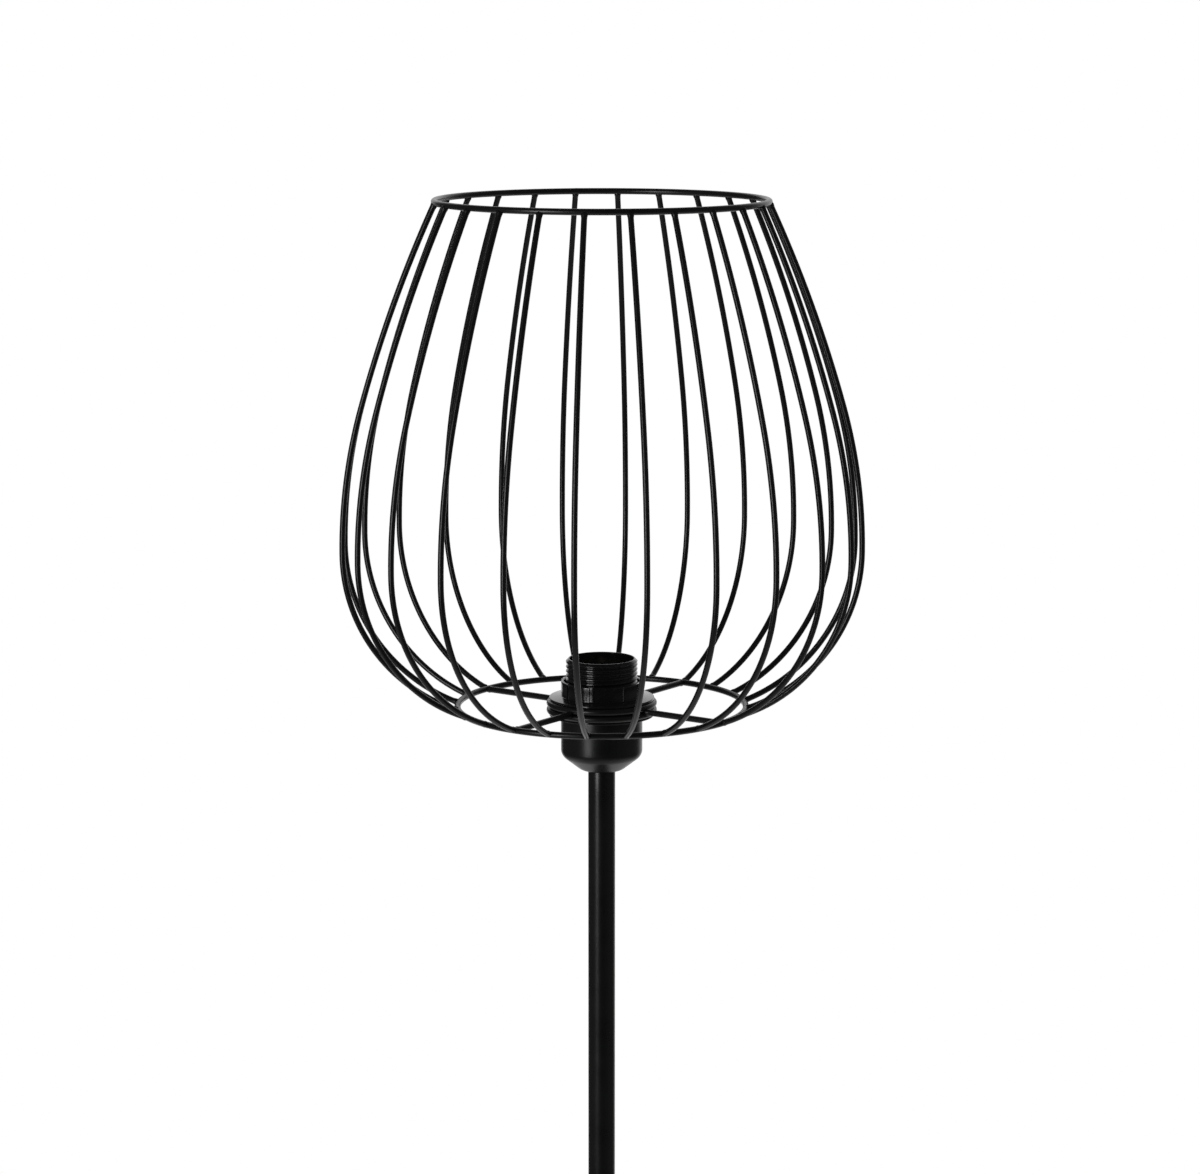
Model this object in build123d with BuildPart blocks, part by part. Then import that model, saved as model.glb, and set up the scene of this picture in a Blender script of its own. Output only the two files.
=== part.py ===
from build123d import *

import math
import os

os.makedirs("parts", exist_ok=True)

# Wire cage floor lamp, in millimetres.
# +Z is up and the origin is on the floor under the pole. The front is -Y.
# Azimuths are counted in degrees from the front (-Y) towards the right (+X).

# ---------------------------------------------------------------- whole lamp
overall_height = 1500.0        # floor to the top of the cage
press_clearance = 0.02         # a slug pressed into a tube, radial
thread_clearance = 0.08        # a screwed pair drawn as plain cylinders, radial
slip_clearance = 0.2           # a piece dropped over or into another, radial

# ---------------------------------------------------------------- cage wires
rib_count = 24
first_rib_azimuth = -5.67
rib_wire = 3.2                 # diameter of the upright wires
ring_wire = 3.6                # diameter of the top and bottom rings' wire
cage_height = 277.6            # from the bottom ring's plane to the top ring's
top_ring_radius = 90.3         # every ring's radius is that of its wire's centre line
bottom_ring_radius = 79.6
belly_radius = 142.4           # where the ribs bulge most
belly_height = 88.5            # all heights here are above the bottom ring's plane
shoulder_inset = 11.0          # the belly's curve ends this far inside the widest point
shoulder_height = 167.7

spoke_count = 4
first_spoke_azimuth = -35.5
spoke_wire = 3.5
hub_wire = 3.9                 # two equal rings lie one on the other and make the hub
hub_inset = 0.4                # its wire's centre line runs inside the flanges' rim
spoke_setback = 0.6            # a spoke's tip stops outside the line where they touch

# ------------------------------------------------------- lampholder and ring
flange_reach = 6.7             # the two flanges that grip the hub, beyond the collar
grip_clearance = 0.1           # left between the hub and each flange
ring_edge = 1.2                # the shade ring's flange at its rim
ring_cone_rise = 0.9           # and how much it climbs to the collar
ring_collar_wall = 2.5         # outside the thread
ring_collar_height = 10.3      # the whole ring, from its underside
ring_mouth_relief = 1.1        # the collar's plain mouth is wider than its thread
ring_thread_length = 4.6
grip_count = 8
first_grip_azimuth = -12.5
grip_width = 0.9
grip_proud = 0.6
grip_block_width = 3.4         # the wider blocks that stand beside every second rib
grip_block_turn = -9.0         # from that rib to the block's middle, in degrees

skirt_thread_radius = 19.8     # the standard thread outside the lampholder
skirt_length = 30.8            # from the flange up to the mouth
skirt_wall = 2.0
skirt_chamfer = 1.4
skirt_flange = 1.0
skirt_body_step = 1.4          # the body below the flange is wider than the thread
skirt_body_length = 8.0
skirt_ledge_depth = 0.6        # the ledge that clamps the insert, below the flange

insert_flange = 2.5
insert_clearance = 0.4         # between the insert and the skirt's bore
insert_shoulder = 4.0          # top of the clamped flange up to the shell's seat
insert_seat = 1.2              # ledge under the shell's foot, inside its bore
insert_well_depth = 3.5
insert_collar_height = 5.0     # stands up round the foot of the screw shell
insert_collar_wall = 1.4

shell_bore_radius = 13.4       # the socket's screw shell
shell_wall = 0.4
shell_length = 20.0

tongue_width = 6.0
tongue_thick = 0.5
tongue_length = 11.5
tongue_rise_angle = 14.0
tongue_gap = 0.1               # between the sprung tongue and its riveted foot
foot_length = 3.0
foot_margin = 0.7              # from the foot's outer edge to the well's wall
rivet_radius = 0.9
rivet_head_radius = 1.4
rivet_head = 0.5

terminal_offset = 8.5
terminal_side = 7.0
terminal_height = 9.0
terminal_wire_hole = 1.5
terminal_screw_radius = 1.5
terminal_head_radius = 2.6
terminal_head = 1.6

cap_wall = 1.8
cap_depth = 18.2               # below the skirt
cap_cone_height = 10.2
cap_foot_radius = 10.5
cap_collar_length = 10.0
cap_collar_wall = 2.45
lock_screw_radius = 1.5
lock_screw_length = 3.2

cup_clearance = 0.4            # round the skirt's body
cup_wall = 0.9
cup_straight = 21.8
cup_bottom_radius = 9.5
cup_bend = 6.0

# ------------------------------------------------------ nipples and fasteners
nipple_radius = 5.0            # fine-threaded hollow rod, drawn at its outer size
nipple_bore_radius = 3.6
nipple_setback = 0.8           # its upper end stays this far inside the cap's collar
tooth_washer_thick = 0.8
tooth_washer_margin = 0.2      # inside the flat of the cup's floor
tooth_count = 12
tooth_depth = 1.0
lock_nut_across = 14.0
lock_nut_thick = 3.0

# ---------------------------------------------------------------------- pole
pole_radius = 7.5
pole_wall = 1.0
pole_section_count = 3
plug_length = 12.0
plug_inset = 0.5               # a slug sits this far inside the tube's end
stud_length = 22.0

# ---------------------------------------------------------------------- base
base_radius = 125.0
base_height = 22.0             # floor to the flat under the pole
base_rim_height = 16.0
base_rim_bend = 4.0
base_wall = 1.2
base_flat_radius = 16.0
base_skirt_gap = 2.0           # the cover's edge above the floor

foot_thick = 4.0
foot_radius = 11.0
foot_count = 5
foot_inset = 22.0              # from the base's edge to a foot's middle
weight_clearance = 4.8         # between the weight and the cover's wall
weight_thick = 9.0
weight_boss_radius = 15.0
weight_recess_radius = 15.0    # for the nut and washer, from below
weight_recess_depth = 6.0
cord_groove_width = 9.0
base_washer_radius = 12.0
base_washer_thick = 1.5
base_nut_across = 17.0
base_nut_thick = 4.0

bushing_height = 7.6           # centre of the cord's inlet above the floor
bushing_bore_radius = 3.25
bushing_body_radius = 4.5
bushing_flange_radius = 5.4
bushing_flange = 1.4
bushing_tail = 3.4             # reaches inside the cover's wall

# ---------------------------------------------------- worked-out sizes and places
ring_collar_radius = skirt_thread_radius + ring_collar_wall
ring_mouth_radius = skirt_thread_radius + ring_mouth_relief
flange_radius = ring_collar_radius + flange_reach
hub_radius = flange_radius - hub_inset
skirt_bore_radius = skirt_thread_radius - skirt_wall
skirt_body_radius = skirt_thread_radius + skirt_body_step
insert_radius = skirt_bore_radius - insert_clearance
insert_well_radius = shell_bore_radius - insert_seat
cap_neck_radius = skirt_body_radius - cap_wall - thread_clearance
cup_radius = skirt_body_radius + cup_clearance + cup_wall
shoulder_radius = belly_radius - shoulder_inset
weight_radius = base_radius - base_wall - weight_clearance
foot_circle_radius = base_radius - foot_inset

seat = overall_height - ring_wire / 2 - cage_height      # the bottom ring's plane
top_ring_z = seat + cage_height
ring_underside = seat + hub_wire + grip_clearance
skirt_flange_top = seat - hub_wire - grip_clearance
skirt_flange_under = skirt_flange_top - skirt_flange
skirt_mouth = skirt_flange_top + skirt_length
skirt_foot = skirt_flange_under - skirt_body_length
ledge_z = skirt_flange_under - skirt_ledge_depth
shell_seat = ledge_z + insert_shoulder
well_floor = shell_seat - insert_well_depth
insert_underside = ledge_z - insert_flange
nut_top = skirt_foot - cap_depth                         # the cap's underside
washer_top = nut_top - lock_nut_thick
cup_floor = washer_top - tooth_washer_thick
cup_foot = cup_floor - cup_wall                          # the pole's upper end
cup_slope = math.atan2(
    skirt_flange_under - cup_straight - cup_foot, cup_radius - cup_bottom_radius
)
cup_flat_radius = cup_bottom_radius - cup_bend * math.tan(cup_slope / 2)
tooth_washer_radius = cup_flat_radius - tooth_washer_margin
threaded_bore = nipple_radius + thread_clearance
cap_collar_top = nut_top + cap_collar_length
pole_length = cup_foot - base_height
section_length = pole_length / pole_section_count
pole_bore = pole_radius - pole_wall
section_feet = [base_height + i * section_length for i in range(pole_section_count)]
cover_underside = base_height - base_wall
recess_roof = foot_thick + weight_recess_depth

# ======================================================================= cage


def wire_ring(radius, wire, height):
    """A ring of round wire lying flat, given by its centre line."""
    with BuildPart() as ring:
        with BuildSketch(Plane.XZ):
            with Locations((radius, height)):
                Circle(wire / 2)
        revolve(axis=Axis.Z)
    return ring


cage_top_ring = wire_ring(top_ring_radius, ring_wire, top_ring_z)
cage_bottom_ring = wire_ring(bottom_ring_radius, ring_wire, seat)
cage_hub_upper = wire_ring(hub_radius, hub_wire, seat + hub_wire / 2)
cage_hub_lower = wire_ring(hub_radius, hub_wire, seat - hub_wire / 2)

# A rib is three tangent arcs. The lowest is the belly's: it stands upright at the
# widest point and ends on the bottom ring's centre line, which gives its bend.
belly_reach = belly_radius - bottom_ring_radius
belly_bend = (belly_reach**2 + belly_height**2) / (2 * belly_reach)
belly_turn = math.degrees(math.atan2(belly_height, belly_bend - belly_reach))

with BuildPart() as rib:
    with BuildLine(Plane.XZ) as rib_path:
        belly = CenterArc(
            (belly_radius - belly_bend, seat + belly_height), belly_bend, -belly_turn, belly_turn
        )
        shoulder = TangentArc(
            belly @ 1, (shoulder_radius, seat + shoulder_height), tangent=belly % 1
        )
        TangentArc(shoulder @ 1, (top_ring_radius, top_ring_z), tangent=shoulder % 1)
    with BuildSketch(Plane(origin=rib_path.line @ 0, z_dir=rib_path.line % 0)):
        Circle(rib_wire / 2)
    sweep(path=rib_path.line)
    # Both ends are coped to the rings that they are welded to.
    add(cage_top_ring.part, mode=Mode.SUBTRACT)
    add(cage_bottom_ring.part, mode=Mode.SUBTRACT)

with BuildPart() as cage_ribs:
    with PolarLocations(0, rib_count, start_angle=first_rib_azimuth - 90):
        add(rib.part)

spoke_start = hub_radius + spoke_setback

with BuildPart() as spoke:
    with BuildSketch(Plane.YZ.offset(spoke_start)):
        with Locations((0, seat)):
            Circle(spoke_wire / 2)
    extrude(amount=bottom_ring_radius - spoke_start)
    # The inner tip is coped to the groove between the hub's two rings.
    for welded in (cage_hub_upper, cage_hub_lower, cage_bottom_ring):
        add(welded.part, mode=Mode.SUBTRACT)

with BuildPart() as cage_spokes:
    with PolarLocations(0, spoke_count, start_angle=first_spoke_azimuth - 90):
        add(spoke.part)

# ================================================================= shade ring
ring_top = ring_underside + ring_collar_height
ring_step = ring_underside + ring_thread_length
cone_foot = ring_underside + ring_edge

with BuildPart() as shade_ring:
    with BuildSketch(Plane.XZ):
        with BuildLine():
            Polyline(
                (skirt_thread_radius + thread_clearance, ring_underside),
                (flange_radius, ring_underside),
                (flange_radius, cone_foot),
                (ring_collar_radius, cone_foot + ring_cone_rise),
                (ring_collar_radius, ring_top),
                (ring_mouth_radius, ring_top),
                (ring_mouth_radius, ring_step),
                (skirt_thread_radius + thread_clearance, ring_step),
                close=True,
            )
        make_face()
    revolve(axis=Axis.Z)
    # Grip ribs round the collar, with a wider block beside every second one.
    first_grip = first_grip_azimuth - 90
    first_block = first_grip + grip_block_turn
    with BuildSketch(Plane.XY.offset(cone_foot)):
        with PolarLocations(ring_collar_radius, grip_count, start_angle=first_grip):
            Rectangle(2 * grip_proud, grip_width)
        with PolarLocations(ring_collar_radius, grip_count // 2, start_angle=first_block):
            Rectangle(2 * grip_proud, grip_block_width)
    extrude(amount=ring_top - cone_foot)

# ================================================================= lampholder
with BuildPart() as holder_skirt:
    with BuildSketch(Plane.XZ):
        with BuildLine():
            Polyline(
                (skirt_bore_radius, skirt_mouth),
                (skirt_thread_radius - skirt_chamfer, skirt_mouth),
                (skirt_thread_radius, skirt_mouth - skirt_chamfer),
                (skirt_thread_radius, skirt_flange_top),
                (flange_radius, skirt_flange_top),
                (flange_radius, skirt_flange_under),
                (skirt_body_radius, skirt_flange_under),
                (skirt_body_radius, skirt_foot),
                (cap_neck_radius + thread_clearance, skirt_foot),
                (cap_neck_radius + thread_clearance, ledge_z),
                (skirt_bore_radius, ledge_z),
                close=True,
            )
        make_face()
    revolve(axis=Axis.Z)

insert_collar_bore = shell_bore_radius + shell_wall + press_clearance
insert_collar_top = shell_seat + insert_collar_height

with BuildPart() as holder_insert:
    with BuildSketch(Plane.XZ):
        with BuildLine():
            Polyline(
                (0, insert_underside),
                (cap_neck_radius - slip_clearance, insert_underside),
                (cap_neck_radius - slip_clearance, ledge_z),
                (insert_radius, ledge_z),
                (insert_radius, shell_seat),
                (insert_collar_bore + insert_collar_wall, shell_seat),
                (insert_collar_bore + insert_collar_wall, insert_collar_top),
                (insert_collar_bore, insert_collar_top),
                (insert_collar_bore, shell_seat),
                (insert_well_radius, shell_seat),
                (insert_well_radius, well_floor),
                (0, well_floor),
                close=True,
            )
        make_face()
    revolve(axis=Axis.Z)
    # A hole for the rivet that holds the contact's foot.
    rivet_x = foot_margin + foot_length / 2 - insert_well_radius
    with BuildSketch(Plane.XY.offset(insert_underside)):
        with Locations((rivet_x, 0)):
            Circle(rivet_radius + press_clearance)
    extrude(amount=well_floor - insert_underside, mode=Mode.SUBTRACT)

with BuildPart() as screw_shell:
    with BuildSketch(Plane.XY.offset(shell_seat)):
        Circle(shell_bore_radius + shell_wall)
        Circle(shell_bore_radius, mode=Mode.SUBTRACT)
    extrude(amount=shell_length)

with BuildPart() as contact_foot:
    with BuildSketch(Plane.XY.offset(well_floor)):
        with Locations((rivet_x, 0)):
            Rectangle(foot_length, tongue_width)
            Circle(rivet_radius + press_clearance, mode=Mode.SUBTRACT)
    extrude(amount=tongue_thick)

with BuildPart() as contact_rivet:
    with BuildSketch(Plane.XY.offset(insert_underside)):
        with Locations((rivet_x, 0)):
            Circle(rivet_radius)
    extrude(amount=well_floor + tongue_thick - insert_underside)
    with BuildSketch(Plane.XY.offset(well_floor + tongue_thick)):
        with Locations((rivet_x, 0)):
            Circle(rivet_head_radius)
    extrude(amount=rivet_head)

# The sprung strip climbs from its foot past the centre and turns down at its tip.
tongue_root_x = rivet_x + foot_length / 2 + tongue_gap
tongue_tip_x = tongue_root_x + tongue_length * math.cos(math.radians(tongue_rise_angle))
tongue_rise = tongue_length * math.sin(math.radians(tongue_rise_angle))

with BuildPart() as centre_contact:
    with BuildSketch(Plane.XZ):
        with BuildLine():
            Polyline(
                (tongue_root_x, well_floor),
                (tongue_tip_x, well_floor + tongue_rise),
                (tongue_tip_x + 2 * tongue_thick, well_floor + tongue_rise - tongue_thick),
                (tongue_tip_x + 2 * tongue_thick, well_floor + tongue_rise),
                (tongue_tip_x, well_floor + tongue_rise + tongue_thick),
                (tongue_root_x, well_floor + tongue_thick),
                close=True,
            )
        make_face()
    extrude(amount=tongue_width / 2, both=True)

terminal_foot = insert_underside - terminal_height

with BuildPart() as terminal_blocks:
    with BuildSketch(Plane.XY.offset(terminal_foot)):
        with Locations((-terminal_offset, 0), (terminal_offset, 0)):
            Rectangle(terminal_side, terminal_side)
            Circle(terminal_screw_radius + thread_clearance, mode=Mode.SUBTRACT)
    extrude(amount=terminal_height)
    # The wire goes in sideways and is held by the screw's end.
    with BuildSketch(Plane.XZ.offset(-terminal_side)):
        with Locations(
            (-terminal_offset, terminal_foot + terminal_height / 2),
            (terminal_offset, terminal_foot + terminal_height / 2),
        ):
            Circle(terminal_wire_hole)
    extrude(amount=2 * terminal_side, mode=Mode.SUBTRACT)

with BuildPart() as terminal_screws:
    with BuildSketch(Plane.XY.offset(terminal_foot - terminal_head)):
        with Locations((-terminal_offset, 0), (terminal_offset, 0)):
            Circle(terminal_head_radius)
    extrude(amount=terminal_head)
    with BuildSketch(Plane.XY.offset(terminal_foot)):
        with Locations((-terminal_offset, 0), (terminal_offset, 0)):
            Circle(terminal_screw_radius)
    extrude(amount=terminal_height / 2 - terminal_wire_hole)

cap_shoulder = nut_top + cap_cone_height
cap_collar_radius = threaded_bore + cap_collar_wall
cap_inner_radius = cap_neck_radius - cap_wall

with BuildPart() as holder_cap:
    with BuildSketch(Plane.XZ):
        with BuildLine():
            Polyline(
                (threaded_bore, nut_top),
                (cap_foot_radius, nut_top),
                (skirt_body_radius, cap_shoulder),
                (skirt_body_radius, skirt_foot),
                (cap_neck_radius, skirt_foot),
                (cap_neck_radius, insert_underside),
                (cap_inner_radius, insert_underside),
                (cap_inner_radius, cap_shoulder),
                (cap_collar_radius + cap_wall, nut_top + cap_wall),
                (cap_collar_radius, nut_top + cap_wall),
                (cap_collar_radius, cap_collar_top),
                (threaded_bore, cap_collar_top),
                close=True,
            )
        make_face()
    revolve(axis=Axis.Z)
    # A tapped hole for the screw that locks the cap on the nipple.
    lock_screw_z = cap_collar_top - cap_collar_length / 3
    with BuildSketch(Plane.YZ.offset(nipple_radius)):
        with Locations((0, lock_screw_z)):
            Circle(lock_screw_radius + thread_clearance)
    extrude(amount=cap_collar_radius - nipple_radius + slip_clearance, mode=Mode.SUBTRACT)

with BuildPart() as cap_lock_screw:
    with BuildSketch(Plane.YZ.offset(nipple_radius + press_clearance)):
        with Locations((0, lock_screw_z)):
            Circle(lock_screw_radius)
    extrude(amount=lock_screw_length)

with BuildPart() as holder_cup:
    with BuildSketch(Plane.XZ):
        with BuildLine():
            FilletPolyline(
                (cup_radius, skirt_flange_under),
                (cup_radius, skirt_flange_under - cup_straight),
                (cup_bottom_radius, cup_foot),
                (0, cup_foot),
                radius=cup_bend,
            )
            Polyline(
                (0, cup_foot), (0, skirt_flange_under), (cup_radius, skirt_flange_under)
            )
        make_face()
    revolve(axis=Axis.Z)
    offset(amount=-cup_wall, openings=holder_cup.faces().sort_by(Axis.Z)[-1])
    with BuildSketch(Plane.XY.offset(cup_foot)):
        Circle(nipple_radius + slip_clearance)
    extrude(amount=cup_wall, mode=Mode.SUBTRACT)

# ======================================================= nipples and fasteners


def hollow_rod(foot, length):
    """Threaded hollow rod, standing on the height given."""
    with BuildPart() as rod:
        with BuildSketch(Plane.XY.offset(foot)):
            Circle(nipple_radius)
            Circle(nipple_bore_radius, mode=Mode.SUBTRACT)
        extrude(amount=length)
    return rod


def hex_nut(foot, across, thick):
    """Hexagon nut for the hollow rod, standing on the height given."""
    with BuildPart() as nut:
        with BuildSketch(Plane.XY.offset(foot)):
            RegularPolygon(across / 2, 6, major_radius=False)
            Circle(threaded_bore, mode=Mode.SUBTRACT)
        extrude(amount=thick)
    return nut


plug_reach = plug_inset + plug_length
top_nipple_foot = cup_foot - plug_reach
top_nipple = hollow_rod(top_nipple_foot, cap_collar_top - nipple_setback - top_nipple_foot)
cup_lock_nut = hex_nut(washer_top, lock_nut_across, lock_nut_thick)

with BuildPart() as cup_tooth_washer:
    with BuildSketch(Plane.XY.offset(cup_floor)):
        Circle(tooth_washer_radius)
        Circle(nipple_radius + slip_clearance, mode=Mode.SUBTRACT)
        with PolarLocations(tooth_washer_radius, tooth_count):
            Rectangle(2 * tooth_depth, tooth_depth, mode=Mode.SUBTRACT)
    extrude(amount=tooth_washer_thick)

# ======================================================================= pole


def pole_section(foot):
    """One length of the pole's tube."""
    with BuildPart() as tube:
        with BuildSketch(Plane.XY.offset(foot)):
            Circle(pole_radius)
            Circle(pole_bore, mode=Mode.SUBTRACT)
        extrude(amount=section_length)
    return tube


pole_lower, pole_middle, pole_upper = (pole_section(foot) for foot in section_feet)

# A tapped slug sits in both ends of every section.
with BuildPart() as pole_plugs:
    for foot in section_feet:
        for plug_foot in (foot + plug_inset, foot + section_length - plug_reach):
            with BuildSketch(Plane.XY.offset(plug_foot)):
                Circle(pole_bore - press_clearance)
                Circle(threaded_bore, mode=Mode.SUBTRACT)
            extrude(amount=plug_length)

# A hollow stud joins each section to the next and lets the lead through.
with BuildPart() as pole_studs:
    for foot in section_feet[1:]:
        with BuildSketch(Plane.XY.offset(foot - stud_length / 2)):
            Circle(nipple_radius)
            Circle(nipple_bore_radius, mode=Mode.SUBTRACT)
        extrude(amount=stud_length)

# ======================================================================= base
with BuildPart() as base_cover:
    with BuildSketch(Plane.XZ):
        with BuildLine():
            FilletPolyline(
                (base_radius, base_skirt_gap),
                (base_radius, base_rim_height),
                (base_flat_radius, base_height),
                (0, base_height),
                radius=base_rim_bend,
            )
            Polyline((0, base_height), (0, base_skirt_gap), (base_radius, base_skirt_gap))
        make_face()
    revolve(axis=Axis.Z)
    offset(amount=-base_wall, openings=base_cover.faces().sort_by(Axis.Z)[0])
    with BuildSketch(Plane.XY.offset(cover_underside)):
        Circle(nipple_radius + slip_clearance)
    extrude(amount=base_wall, mode=Mode.SUBTRACT)
    # The cord's inlet is at the back, low in the rim.
    with BuildSketch(Plane.XZ.offset(-base_radius + 2 * base_wall)):
        with Locations((0, bushing_height)):
            Circle(bushing_body_radius + slip_clearance)
    extrude(amount=-3 * base_wall, mode=Mode.SUBTRACT)

with BuildPart() as base_weight:
    with BuildSketch(Plane.XY.offset(foot_thick)):
        Circle(weight_radius)
    extrude(amount=weight_thick)
    with BuildSketch(Plane.XY.offset(foot_thick)):
        Circle(weight_boss_radius)
    extrude(amount=cover_underside - foot_thick)
    with BuildSketch(Plane.XY.offset(foot_thick)):
        Circle(weight_recess_radius)
        # The groove that brings the cord in from the back.
        with Locations((0, weight_radius / 2)):
            Rectangle(cord_groove_width, weight_radius)
    extrude(amount=weight_recess_depth, mode=Mode.SUBTRACT)
    with BuildSketch(Plane.XY.offset(recess_roof)):
        Circle(nipple_radius + slip_clearance)
    extrude(amount=cover_underside - recess_roof, mode=Mode.SUBTRACT)

base_nut_foot = recess_roof - base_washer_thick - base_nut_thick
base_nipple = hollow_rod(base_nut_foot, base_height + plug_reach - base_nut_foot)
base_nut = hex_nut(base_nut_foot, base_nut_across, base_nut_thick)

with BuildPart() as base_washer:
    with BuildSketch(Plane.XY.offset(recess_roof - base_washer_thick)):
        Circle(base_washer_radius)
        Circle(nipple_radius + slip_clearance, mode=Mode.SUBTRACT)
    extrude(amount=base_washer_thick)

with BuildPart() as base_feet:
    with BuildSketch():
        with PolarLocations(foot_circle_radius, foot_count, start_angle=-90):
            Circle(foot_radius)
    extrude(amount=foot_thick)

with BuildPart() as cord_bushing:
    # It is pushed through the rim's wall from behind, against its flange.
    with BuildSketch(Plane.XZ.offset(-base_radius + bushing_tail)):
        with Locations((0, bushing_height)):
            Circle(bushing_body_radius)
    extrude(amount=-bushing_tail)
    with BuildSketch(Plane.XZ.offset(-base_radius)):
        with Locations((0, bushing_height)):
            Circle(bushing_flange_radius)
    extrude(amount=-bushing_flange)
    with BuildSketch(Plane.XZ.offset(-base_radius + bushing_tail)):
        with Locations((0, bushing_height)):
            Circle(bushing_bore_radius)
    extrude(amount=-bushing_tail - bushing_flange, mode=Mode.SUBTRACT)

# ===================================================================== export
pieces = {
    "cage_top_ring": cage_top_ring,
    "cage_bottom_ring": cage_bottom_ring,
    "cage_ribs": cage_ribs,
    "cage_spokes": cage_spokes,
    "cage_hub_upper": cage_hub_upper,
    "cage_hub_lower": cage_hub_lower,
    "shade_ring": shade_ring,
    "holder_skirt": holder_skirt,
    "holder_insert": holder_insert,
    "screw_shell": screw_shell,
    "centre_contact": centre_contact,
    "contact_foot": contact_foot,
    "contact_rivet": contact_rivet,
    "terminal_blocks": terminal_blocks,
    "terminal_screws": terminal_screws,
    "holder_cap": holder_cap,
    "cap_lock_screw": cap_lock_screw,
    "holder_cup": holder_cup,
    "cup_tooth_washer": cup_tooth_washer,
    "cup_lock_nut": cup_lock_nut,
    "top_nipple": top_nipple,
    "pole_upper": pole_upper,
    "pole_middle": pole_middle,
    "pole_lower": pole_lower,
    "pole_plugs": pole_plugs,
    "pole_studs": pole_studs,
    "base_cover": base_cover,
    "base_weight": base_weight,
    "base_nipple": base_nipple,
    "base_washer": base_washer,
    "base_nut": base_nut,
    "base_feet": base_feet,
    "cord_bushing": cord_bushing,
}

for name, piece in pieces.items():
    piece.part.label = name
    export_step(piece.part, f"parts/{name}.step")
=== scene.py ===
import math

import bpy
import numpy as np
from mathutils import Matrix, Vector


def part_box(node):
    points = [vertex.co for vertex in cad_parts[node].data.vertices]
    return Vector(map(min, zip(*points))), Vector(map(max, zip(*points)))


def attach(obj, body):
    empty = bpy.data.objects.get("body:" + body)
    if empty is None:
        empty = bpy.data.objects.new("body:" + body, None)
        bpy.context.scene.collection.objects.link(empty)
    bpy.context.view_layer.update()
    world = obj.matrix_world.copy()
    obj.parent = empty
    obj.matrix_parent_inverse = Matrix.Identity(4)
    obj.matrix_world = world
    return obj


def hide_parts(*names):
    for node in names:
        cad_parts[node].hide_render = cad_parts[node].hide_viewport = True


# The looks of a wire cage floor lamp: a black powder-coated wire cage on a
# moulded lampholder, a drawn steel cup, a slim tube pole and a round base.
# All lengths are in metres. +Z is up, the front is -Y, and azimuths are
# counted from the front towards +X.
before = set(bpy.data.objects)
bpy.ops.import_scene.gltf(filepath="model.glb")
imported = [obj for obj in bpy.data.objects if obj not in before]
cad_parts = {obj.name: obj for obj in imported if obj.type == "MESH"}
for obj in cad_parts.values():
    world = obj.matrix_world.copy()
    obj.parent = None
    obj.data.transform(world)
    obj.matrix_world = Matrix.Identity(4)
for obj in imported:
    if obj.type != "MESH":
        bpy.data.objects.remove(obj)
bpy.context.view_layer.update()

bl_info = {
    "name": "Wire Cage Floor Lamp",
    "version": (1, 0, 0),
    "blender": (4, 5, 0),
    "location": "3D View > Sidebar > Floor Lamp",
    "description": "Builds the surfaces, finishes and studio of a wire cage floor lamp",
    "category": "Add Mesh",
}

MM = 0.001
UP = np.array([0, 0, 1.0])

# ---- sizes read off the frame


def node_points(node):
    """The corners of a CAD node's mesh, one row each."""
    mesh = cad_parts[node].data
    flat = np.empty(len(mesh.vertices) * 3)
    mesh.vertices.foreach_get("co", flat)
    return flat.reshape(-1, 3)


def node_reach(node):
    """How far a CAD node reaches from the pole's axis."""
    points = node_points(node)
    return float(np.hypot(points[:, 0], points[:, 1]).max())


def node_bore(node):
    """How near a CAD node comes to the pole's axis."""
    points = node_points(node)
    return float(np.hypot(points[:, 0], points[:, 1]).min())


def node_span(node):
    """The heights of a CAD node's underside and top."""
    low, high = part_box(node)
    return low.z, high.z


def ring_of(node):
    """(centre line's radius, centre line's height, wire's radius) of a wire ring."""
    under, top = node_span(node)
    wire = (top - under) / 2
    return node_reach(node) - wire, under + wire, wire


TOP_RING = ring_of("cage_top_ring")
SEAT_RING = ring_of("cage_bottom_ring")
HUB_UPPER = ring_of("cage_hub_upper")
HUB_LOWER = ring_of("cage_hub_lower")
SEAT = SEAT_RING[1]
CAGE_HEIGHT = TOP_RING[1] - SEAT

# ---- property groups


def length(name, description, default):
    """A length in metres for the sidebar."""
    return bpy.props.FloatProperty(
        name=name, description=description, default=default, min=0.0, precision=5,
        unit="LENGTH", subtype="DISTANCE",
    )


def angle(name, description, degrees):
    """An angle for the sidebar, given in degrees."""
    return bpy.props.FloatProperty(
        name=name, description=description, default=math.radians(degrees), subtype="ANGLE",
    )


def whole(name, description, default):
    """A count for the sidebar."""
    return bpy.props.IntProperty(name=name, description=description, default=default, min=3)


def colour(name, description, code):
    """A colour for the sidebar, given as an sRGB hex code."""
    return bpy.props.FloatVectorProperty(
        name=name, description=description, default=linear(code), size=3, min=0.0, max=1.0,
        subtype="COLOR",
    )


def linear(code):
    """Linear colour of an sRGB hex code: the sRGB curve undone channel by channel."""
    channels = np.array([int(code[i:i + 2], 16) for i in (1, 3, 5)]) / 255
    low = channels / 12.92
    high = ((channels + 0.055) / 1.055) ** 2.4
    return tuple(float(v) for v in np.where(channels <= 0.04045, low, high))


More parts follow.
